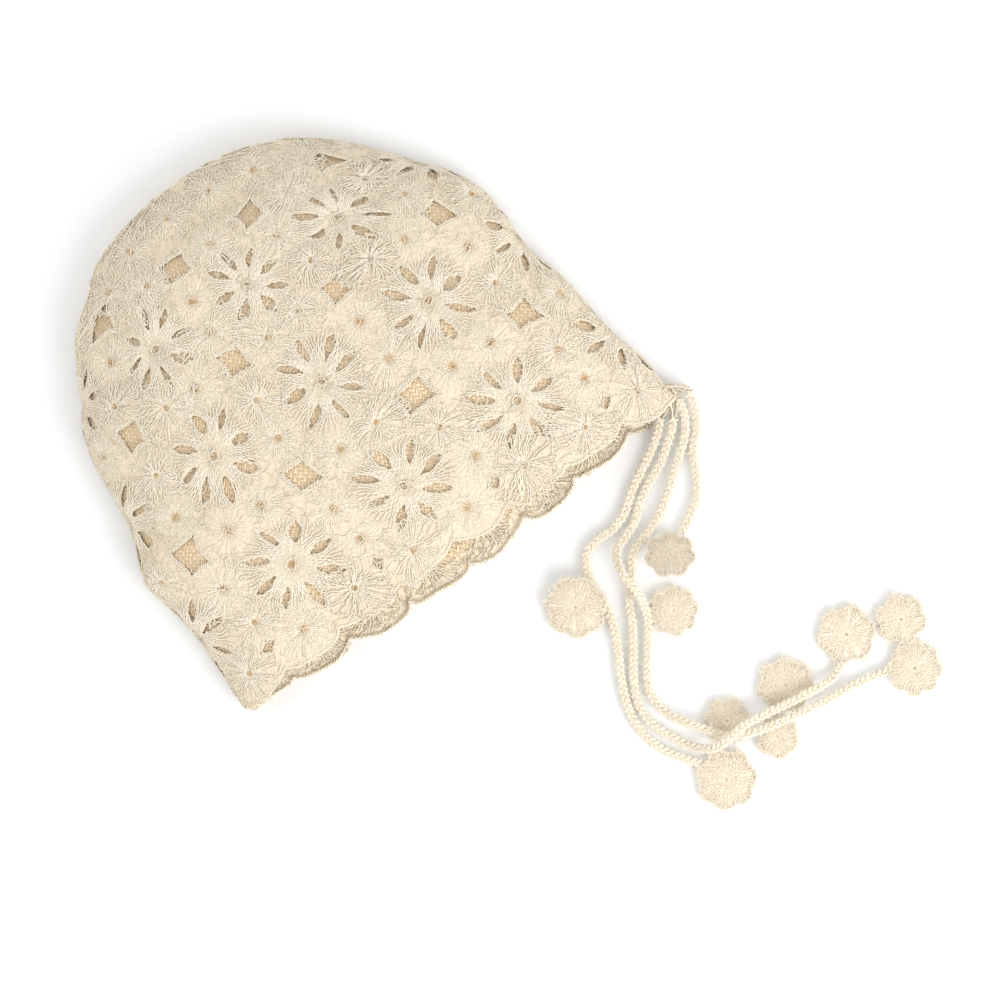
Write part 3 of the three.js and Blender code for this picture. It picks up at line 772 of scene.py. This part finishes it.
def crossed_rings(piece, to_space, edge_radius, inwards, swing, waves, height, thick):
    """Two yarns that cross over and over round a ring inside an edge."""
    around = np.linspace(0, 2 * np.pi, 4 * waves + 1)
    for phase in (0.0, np.pi):
        wave = waves * around + phase
        radial = edge_radius(around) - inwards + swing * np.sin(wave)
        points, normals = place_round(to_space, radial, around, height + 0.3 * np.cos(wave))
        piece.tubes(points, normals, thick)


def disc_edge(radius, flats=(), dents=()):
    """Edge radius by angle, wavy, with flats (angle, distance) and dents (angle, reach, half)."""
    lobes = rng.uniform(0, 2 * np.pi, 2)

    def edge(angle):
        wave = 0.035 * np.cos(3 * angle + lobes[0]) + 0.03 * np.cos(7 * angle + lobes[1])
        reach = radius * (1 + wave)
        for towards, distance in flats:
            facing = np.cos(angle - towards)
            limit = distance / np.maximum(facing, 1e-3)
            reach = np.where(facing > 0.05, np.minimum(reach, limit), reach)
        for towards, distance, half in dents:
            is_beside = np.cos(angle - towards) > math.cos(half)
            reach = np.where(is_beside, np.minimum(reach, distance), reach)
        return reach

    return edge


STAR_ROWS = []
for index in range(ROWS):
    is_last = index == ROWS - 1
    pitch = CROWN_ROW_PITCH if is_last else MOTIF_PITCH
    high = CROWN_START if is_last else HEM_TO_STAR + (index + 0.5) * MOTIF_PITCH
    STAR_ROWS.append({
        "centre": high - pitch / 2, "high": high, "squeeze": pitch / MOTIF_PITCH,
        "widening": CROWN_GAP_WIDENING if is_last else 1.0,
    })
SQUEEZES = [row["squeeze"] for row in STAR_ROWS] + [STAR_ROWS[-1]["squeeze"]]

DISC_RADIUS = 13.8
PAIR_OFFSET = 10.8
FIRST_DISC_LIFT = 1.8
HEM_DISC_UP = 11.5
HEM_DISC_RADIUS = 16.9
HEM_DISC_ABOVE = 13.4
HEM_DISC_BELOW = 14.8
CROWN_DISC_RADIUS = 12.6
UP, DOWN, LEFT, RIGHT = math.pi / 2, -math.pi / 2, math.pi, 0.0

# The dent that a small hem gap leaves in a disc: angle, distance and half its angle
DENT_TURN = 0.2
DENT = (12.8, 0.27)

# Discs of the pattern as across, up, radius and flat sides
DISCS = []
STARS = []
for column in range(COLUMNS):
    middle = (column - COLUMNS / 2) * COLUMN_PITCH
    for index, row in enumerate(STAR_ROWS):
        STARS.append((middle, row["centre"], row["squeeze"]))
        offset = PAIR_OFFSET * row["squeeze"]
        for rise, towards in ((-1, UP), (1, DOWN)):
            up = row["centre"] + rise * offset
            if index == 0 and rise < 0:
                up += FIRST_DISC_LIFT
            DISCS.append((middle + SIDE, up, DISC_RADIUS, [(towards, offset + 0.6)]))
        if index < ROWS - 1:
            for hand, towards in ((-1, RIGHT), (1, LEFT)):
                DISCS.append((
                    middle + hand * PAIR_OFFSET, row["high"], DISC_RADIUS,
                    [(towards, PAIR_OFFSET + 0.5)],
                ))
    for hand in (-1, 1):
        DISCS.append((middle + hand * SIDE / 2, HEM_DISC_UP, HEM_DISC_RADIUS, [
            (LEFT, SIDE / 2 + 0.3), (RIGHT, SIDE / 2 + 0.3),
            (UP, HEM_DISC_ABOVE), (DOWN, HEM_DISC_BELOW),
        ]))
    DISCS.append((middle, CROWN_START - 1, CROWN_DISC_RADIUS, []))

# Discs of the crown, placed from above: x, y and radius
CROWN_DISCS = [
    (-60, 201, 12.5), (-40, 211, 13), (-42, 192, 11), (-15, 214, 13),
    (9, 213, 13), (33, 208, 13), (42, 190, 11.5), (55, 197, 12),
]


def is_front(across):
    along = across - cap.around * np.round(across / cap.around)
    return np.abs(along) < cap.around / 4 + 1


# The felted ground: a fine sheet with the gaps of the pattern, whose stitches run out from
# the middle of the nearest motif

HEM_GAP_REACH = 1.25 * HEM_GAP_HALF
STAR_REACH = 19.0
STAR_STITCHES = 40
DISC_STITCHES = 22

# How far the yarns leave each gap open, by row and column
STAR_GAPS_OPEN = rng.uniform(0.75, 1.15, (ROWS, COLUMNS, PETALS))
SQUARES_OPEN = rng.uniform(0.74, 1.04, (ROWS, COLUMNS, 2))


def is_gap(across, up):
    """Whether a place of the pattern lies in one of the gaps of the lace."""

    def square_limit(other):
        reach = SQUARE_HALF + SQUARE_CORNER
        return np.minimum(SQUARE_HALF + SQUARE_CORNER * other / reach, reach)

    column = np.round(across / COLUMN_PITCH)
    x = across - column * COLUMN_PITCH
    column = column.astype(int) % COLUMNS
    boundary = np.floor(across / COLUMN_PITCH)
    beside = boundary * COLUMN_PITCH + SIDE
    boundary = boundary.astype(int) % COLUMNS
    found = np.zeros(np.shape(across), bool)
    for index, row in enumerate(STAR_ROWS):
        y = (up - row["centre"]) / row["squeeze"]
        radial, angle = np.hypot(x, y), np.arctan2(y, x)
        turn = 2 * math.pi / PETALS
        petal = np.round(angle / turn)
        off = angle - turn * petal
        open_share = STAR_GAPS_OPEN[index, column, petal.astype(int) % PETALS]
        along = (radial * np.cos(off) - STAR_GAP_START) / STAR_GAP_LENGTH
        half = STAR_GAP_WIDTH * np.interp(along, [0, 0.36, 0.7, 1], [0, 0.5, 0.5, 0], 0, 0)
        half = half * open_share - 0.4
        found |= np.abs(radial * np.sin(off)) < half
        x_square = np.abs(across - beside) / row["widening"] / SQUARES_OPEN[index, boundary, 0]
        rise = up - row["high"]
        y_square = np.abs(rise) / np.where(rise < 0, SQUEEZES[index], SQUEEZES[index + 1])
        y_square = y_square / SQUARES_OPEN[index, boundary, 1]
        found |= (x_square < square_limit(y_square)) & (y_square < square_limit(x_square))
    found |= np.abs(across - beside) + np.abs(up - HEM_GAP_HEIGHT) < HEM_GAP_REACH
    return found


def motif_frames():
    """Middle, two directions, reach and stitches of every motif."""
    motifs = [(flat_patch(across, up), STAR_REACH, STAR_STITCHES) for across, up, _ in STARS]
    for across, up, radius, _ in DISCS:
        motifs.append((flat_patch(across, up), radius, DISC_STITCHES))
    for x, y, radius in CROWN_DISCS:
        motifs.append((plan_patch(x, y), radius, DISC_STITCHES))
    frames = []
    for to_cap, reach, stitches in motifs:
        middle, beside, above = to_cap(np.array([0, 1, 0]), np.array([0, 0, 1]), np.zeros(3))[0]
        frames.append((middle, beside - middle, above - middle, reach, stitches))
    return [np.array(column) for column in zip(*frames)]


def lace_ground(steps_around=352, steps_up=142):
    """Front and back halves of the ground."""
    across = np.linspace(-0.5, 0.5, steps_around + 1)[None, :] * cap.around
    rise = np.linspace(0, FLAT_HEIGHT - 0.3, steps_up + 1)[:, None]
    up = rise + hem_height(across) * np.maximum(0, 1 - rise / 15)
    up = np.minimum(up, FLAT_HEIGHT - 0.3)
    across = np.broadcast_to(across, up.shape)
    points, normals = cap.look_up(across, up)
    middles, firsts, seconds, reaches, stitches = motif_frames()

    def nearest(place):
        apart = (place**2).sum(-1)[..., None] - 2 * place @ middles.T + (middles**2).sum(-1)
        share = np.sqrt(np.maximum(apart, 0)) / reaches
        return share.argmin(-1), share.min(-1)

    _, share = nearest(points)
    height = disc_height(np.clip(share, 0, 1.05)) - 0.5 + 0.08 * rng.standard_normal(share.shape)
    points = points + normals * height[..., None]
    points[..., 2] = np.maximum(points[..., 2], 0.3)

    # The last row is sewn up, each place of the front to the one behind it
    opposite = (steps_around // 2 - np.arange(steps_around + 1)) % steps_around
    points[-1] = (points[-1] + points[-1, opposite]) / 2

    middle_across = (across[:-1, :-1] + across[1:, 1:]) / 2
    middle_up = (up[:-1, :-1] + up[1:, 1:]) / 2
    keep = ~is_gap(middle_across, middle_up)
    quads = cells(np.arange(up.size).reshape(up.shape))
    flat = points.reshape(-1, 3)
    halves = []
    for chosen in (keep & is_front(middle_across), keep & ~is_front(middle_across)):
        faces = quads[chosen]
        corners = flat[faces]
        motif, _ = nearest(corners.mean(axis=1))
        offset = corners - middles[motif][:, None]
        x = (offset * firsts[motif][:, None]).sum(-1)
        y = (offset * seconds[motif][:, None]).sum(-1)
        angle = np.arctan2(y, x)
        middle_angle = np.arctan2(y.mean(axis=1), x.mean(axis=1))[:, None]
        angle = middle_angle + np.mod(angle - middle_angle + np.pi, 2 * np.pi) - np.pi
        uvs = np.stack([np.hypot(x, y), angle * stitches[motif][:, None] / (2 * np.pi)], axis=-1)
        used, renumbered = np.unique(faces, return_inverse=True)
        piece = Piece()
        piece.add(flat[used], renumbered.reshape(-1, 4), uvs.reshape(-1, 2), np.ones(len(used)))
        piece.seeds.append((flat[used], normals.reshape(-1, 3)[used]))
        halves.append(piece)
    return halves


front_ground, back_ground = lace_ground()

front_discs = Piece()
back_discs = Piece()
hem_inside = Piece()
for across, up, radius, flats in DISCS:
    is_hem = up < HEM_GAP_HEIGHT
    nudge = np.array([0, 0]) if is_hem else 0.7 * rng.standard_normal(2)
    is_left = across < COLUMN_PITCH * np.round(across / COLUMN_PITCH)
    towards = math.pi - DENT_TURN if is_left else DENT_TURN
    dents = [(towards, *DENT)] if is_hem else []
    is_shown = is_front(across)
    crochet_disc(
        front_discs if is_shown else back_discs,
        flat_patch(across + nudge[0], up + nudge[1]), disc_edge(radius, flats, dents),
        posts=int(rng.integers(15, 19)) if is_shown else 14,
        lift=0.25 * rng.standard_normal(), spin=rng.random(), plies=2 if is_shown else 1,
    )
    if is_hem and not is_shown:
        inside = flat_patch(across, up, is_inside=True)
        crochet_disc(hem_inside, inside, disc_edge(radius, flats), spin=rng.random())
for x, y, radius in CROWN_DISCS:
    crochet_disc(front_discs, plan_patch(x, y), disc_edge(radius), lift=0.2, spin=rng.random())


RING_RADIUS = 2.6

# Outline of a star's gap, as shares of its length and width
STAR_GAP_OUTLINE = np.array([
    (-0.04, 0), (0.36, 0.52), (0.7, 0.52), (1.04, 0), (0.7, -0.52), (0.36, -0.52), (-0.04, 0),
])


def crochet_star(piece, across, up, squeeze, strands, open_shares):
    """Eight petals round a small ring, and a chain round each gap on the front."""

    def star_place(x, y, height):
        return cap.place(across + x, up + y * squeeze, height)

    for petal in range(PETALS):
        angle = 2 * math.pi * (petal + 0.5) / PETALS
        petal_strands(piece, star_place, angle + 0.03 * rng.standard_normal(), strands)
        if strands < 5:
            continue
        turn = angle + math.pi / PETALS
        along = STAR_GAP_START + STAR_GAP_LENGTH * STAR_GAP_OUTLINE[:, 0]
        aside = STAR_GAP_WIDTH * STAR_GAP_OUTLINE[:, 1] * open_shares[(petal + 1) % PETALS]
        chain_line(piece, star_place, *turned(along, aside, turn), height=-0.35)
    crossed_rings(piece, star_place, lambda angle: RING_RADIUS, 0, 0.35, 8, -0.7, RING_YARN)


stars = Piece()
for number, (across, up, squeeze) in enumerate(STARS):
    column, index = divmod(number, ROWS)
    shares = STAR_GAPS_OPEN[index, (column - COLUMNS // 2) % COLUMNS]
    crochet_star(stars, across, up, squeeze, 7 if is_front(across) else 3, shares)


def square_outline(across, up, half_across, half_low, half_high):
    """A closed outline with pointed corners, as four discs leave between them."""
    corners = np.array([(-1, -1), (1, -1), (1, 1), (-1, 1), (-1, -1)], float)
    points = []
    for first, last in zip(corners[:-1], corners[1:]):
        for t in np.linspace(0, 1, 7)[:-1]:
            middle = (first + last) / 2
            points.append(first * (1 - t) + last * t - middle * 0.14 * math.sin(math.pi * t))
    points = np.array(points + points[:1])
    half_up = np.where(points[:, 1] < 0, half_low, half_high)
    return across + points[:, 0] * half_across, up + points[:, 1] * half_up


edges = Piece()
for column in range(COLUMNS):
    boundary = (column - COLUMNS / 2 + 0.5) * COLUMN_PITCH
    for index, row in enumerate(STAR_ROWS):
        half = SQUARE_HALF + SQUARE_CORNER + 0.1
        wide, high = SQUARES_OPEN[index, (column - COLUMNS // 2) % COLUMNS]
        for grow in (0.0, 1.3):
            chain_line(edges, cap.place, *square_outline(
                boundary, row["high"], (half * wide + grow) * row["widening"],
                (half * high + grow) * SQUEEZES[index], (half * high + grow) * SQUEEZES[index + 1],
            ), height=-0.2)
    chain_line(
        edges, cap.place, boundary + HEM_GAP_REACH * np.array([-1, 0, 1, 0, -1]),
        HEM_GAP_HEIGHT + HEM_GAP_REACH * np.array([0, 1, 0, -1, 0]), height=-0.3,
    )
around = np.linspace(-0.5, 0.5, 400) * cap.around
for height, rise in ((-0.5, 0.6), (-2.0, 0.9)):
    chain_line(edges, cap.place, around, hem_height(around) + rise, height, RIM_YARN)


def add_curls(piece, count, across_range, up_range, height):
    """Loose curls of yarn, where the lace isn't pierced."""
    across = rng.uniform(*across_range, count)[:, None] * cap.around
    up = rng.uniform(*up_range, count)[:, None]
    turns = np.cumsum(0.75 * rng.standard_normal((count, 9)), axis=1)
    heading = rng.uniform(0, 2 * np.pi, (count, 1)) + turns
    across = across + np.cumsum(1.15 * np.cos(heading), axis=1)
    up = np.minimum(up + np.cumsum(1.15 * np.sin(heading), axis=1), FLAT_HEIGHT - 1)
    is_whole = ~is_gap(across, up).any(axis=1) & (up > hem_height(across)).all(axis=1)
    across, up = across[is_whole], up[is_whole]
    uneven = 0.15 * rng.standard_normal((len(up), 1)) + 0.12 * rng.standard_normal(up.shape)
    points, normals = cap.place(across, up, height + uneven)
    piece.tubes(points, normals, CURL_YARN, tone=random_tones(len(up)))


FRONT_CURLS = 2450
HEM_CURLS = 600
curls = Piece()
add_curls(curls, FRONT_CURLS, (-0.27, 0.27), (2, FLAT_HEIGHT - 3), 0.0)

# Yarns that gather the ties to the corner of the hem
corner_across = 2 * COLUMN_PITCH
for start in tie_starts:
    t = np.linspace(0, 1, 9)[:, None]
    for _ in range(7):
        across = corner_across + rng.uniform(-9, 7)
        root, normal = cap.place(across, rng.uniform(1, 8), 0.2)
        end = start + rng.uniform(-1.4, 1.4, 3)
        line = root * (1 - t) + end * t + normal * 1.6 * np.sin(np.pi * t)
        line[:, 2] = np.maximum(line[:, 2], 0.7)
        edges.tubes(line, normal, GATHER_YARN, tone=1.02)


# The back hem's inner face, which shows past the front hem
add_curls(hem_inside, HEM_CURLS, (0.25, 0.75), (-2, LINING_SETBACK), -1.5)
across = np.linspace(0.25, 0.75, 221)[None, :] * cap.around
low = hem_height(across) + 0.5
up = low + (LINING_SETBACK + 3 - low) * np.linspace(0, 1, 9)[:, None]
point, normal = cap.look_up(np.broadcast_to(across, up.shape), up)
hem_inside.sheet(point - normal * (1.1 + 0.2 * rng.standard_normal((*up.shape, 1))))


# The knitted lining, a plain bag with thickness

LINING_DEPTHS = (1.7, 5.8)
LINING_COLUMNS = 144
lining = Piece()
levels = np.concatenate([
    np.arange(LINING_SETBACK, Cap.CROWN_FROM, 4.0), FLAT_HEIGHT - np.linspace(4.5, 0.3, 12) ** 2,
])
across = np.linspace(0, cap.around, LINING_COLUMNS + 1)
point, normal = cap.look_up(across[:-1], levels[:, None])
outer, inner = (point - normal * depth for depth in LINING_DEPTHS)
shell = np.concatenate([inner[::-1], outer])
shell[..., 2] = np.maximum(shell[..., 2], 0.5)
rise = np.concatenate([levels[::-1], levels])[:, None]
places = np.stack(np.broadcast_arrays(across, rise), axis=-1)
lining.sheet(shell, is_closed=True, places=places)


# Flowers


def flower_space(x, y, radius, lean, low):
    """Places a flower's own coordinates among the rest."""
    tip = math.radians(lean)
    base = np.array([x, y, 0.2 + radius * math.sin(tip)])
    matrix = np.array(Euler((0, tip, math.radians(low))).to_matrix())
    normal = matrix[:, 2]

    def to_space(px, py, height):
        px, py, height = np.broadcast_arrays(px, py, height)
        local = np.stack([px, py, height], axis=-1)
        points = local @ matrix.T + base
        points[..., 2] = np.maximum(points[..., 2], 0.6)
        return points, np.broadcast_to(normal, points.shape)

    return to_space


def flower_mesh(x, y, radius, lean, low):
    """A round crochet flower with a petalled edge."""
    piece = Piece()
    to_space = flower_space(x, y, radius, lean, low)
    petals = int(rng.integers(6, 9))
    lobes = rng.uniform(0, 2 * np.pi)

    def edge(angle):
        return radius - 0.2 - 1.7 * np.abs(np.cos((petals * angle + lobes) / 2)) ** 4

    crochet_disc(piece, to_space, edge, posts=petals * 4, lift=2.9, spin=rng.random(), hole=1.0)
    for height, inwards in ((0.8, 1.2), (1.6, 0.7), (2.4, 0.6)):
        crossed_rings(piece, to_space, edge, inwards, 0.4, 24, height, RIM_YARN)
    segments = np.linspace(0, 2 * np.pi, 32, endpoint=False)[None, :]
    radial = np.array([0.06, 0.4, 0.75, 0.97])[:, None] * (edge(segments) - 0.9)
    top_height = np.array([2.35, 3.0, 2.7, 2.1])[:, None]
    top, _ = place_round(to_space, radial, segments, top_height)
    bottom, _ = place_round(to_space, radial, segments, 0.5)
    piece.sheet(top, tone=0.96, is_closed=True)
    piece.sheet(bottom[::-1], tone=0.96, is_closed=True)
    return piece


for flower, numbers in FLOWERS.items():
    gathered = flower_mesh(*numbers)
    fuzz_sources.append(gathered)
    made = gathered.make(f"{flower}_crochet", FLOWER)
    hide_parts(flower)


# Fine mohair fibres


def fuzz(sources, count, name, long, width, lift, wild=2.0):
    """Fine curved fibres that lie over the yarns and stand out a little, as slivers."""
    points = np.concatenate([p for source in sources for p, _ in source.seeds])
    normals = np.concatenate([n for source in sources for _, n in source.seeds])
    pick = rng.integers(0, len(points), count)
    root, normal = points[pick], normals[pick]
    way = rng.standard_normal((count, 3))
    way = unit(way - (way * normal).sum(1, keepdims=True) * normal)
    side = np.cross(normal, way)
    out = lift * rng.random((count, 1)) ** wild
    length = long * rng.uniform(0.35, 1.0, (count, 1))
    bend = side * rng.uniform(-0.8, 0.8, (count, 1)) - normal * out * 0.5
    steps = 3
    t = np.linspace(0, 1, steps)[:, None]
    line = (root + normal * 0.35)[:, None] + length[:, None] * (
        (way + normal * out)[:, None] * t + bend[:, None] * t**2
    )
    half = width / 2 * (1 - 0.7 * t)
    across = side[:, None] + 0.4 * normal[:, None]
    both = np.stack([line - across * half, line + across * half], axis=2)
    both[..., 2] = np.maximum(both[..., 2], 0.1)
    index = np.arange(count * steps * 2).reshape(count, steps, 2)
    faces = [index[:, :-1, 0], index[:, 1:, 0], index[:, 1:, 1], index[:, :-1, 1]]
    faces = np.stack(faces, axis=2).reshape(-1, 4)
    piece = Piece()
    piece.add(both.reshape(-1, 3), faces, np.zeros((faces.size, 2)), np.ones(index.size))
    return piece.make(name, MOHAIR)


LACE_PIECES = [
    ("lace_ground_front", front_ground, GROUND_PAINTED_SHADE), ("lace_ground_back", back_ground, GROUND_PAINTED_SHADE),
    ("lace_discs_front", front_discs, LACE), ("lace_discs_back", back_discs, LACE),
    ("lace_stars", stars, LACE), ("lace_edges", edges, LACE), ("lace_curls", curls, LACE),
    ("lace_hem_inside", hem_inside, PAINTED_LIGHT_HEM),
]
for name, gathered, material in LACE_PIECES:
    made = gathered.make(name, material)
    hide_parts("lace_shell")

made = lining.make("lining_knit", LINING)
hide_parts("knit_lining")

front_sources = [front_ground, front_discs, hem_inside, stars, edges, curls]
fuzz(front_sources, 20000, "lace_mohair", 5.5, 0.16, lift=0.4)
halo_sources = [front_ground, back_ground, front_discs, edges]
fuzz(halo_sources, 10000, "lace_halo", 3.4, 0.12, lift=2.5, wild=0.7)
fuzz(fuzz_sources, 20000, "tie_mohair", 4.2, 0.14, lift=1.5, wild=1.0)


# Floor and light

bpy.ops.mesh.primitive_plane_add(size=6)
floor = bpy.context.object
floor.name = "floor"
floor.data.materials.append(Surface("floor_paper", (0.94, 0.95, 0.97)).material)
floor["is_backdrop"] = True

world = bpy.data.worlds.new("studio")
bpy.context.scene.world = world
world.use_nodes = True
background = world.node_tree.nodes["Background"]
background.inputs["Color"].default_value = (1, 0.99, 0.965, 1)
background.inputs["Strength"].default_value = 0.83
LIGHT_TARGET = Vector((0, -0.05, 0))


def area_light(name, place, size, power):
    data = bpy.data.lights.new(name, "AREA")
    data.size = size
    data.energy = power
    light = add_object(name, data)
    light.location = place
    light.rotation_euler = (LIGHT_TARGET - Vector(place)).to_track_quat("-Z", "Y").to_euler()


area_light("key", (0.35, -1.3, 0.8), size=1.0, power=15)
area_light("fill", (-0.8, 0.9, 1.4), size=1.4, power=5)
bpy.context.scene.view_settings.view_transform = "Standard"

low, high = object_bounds()
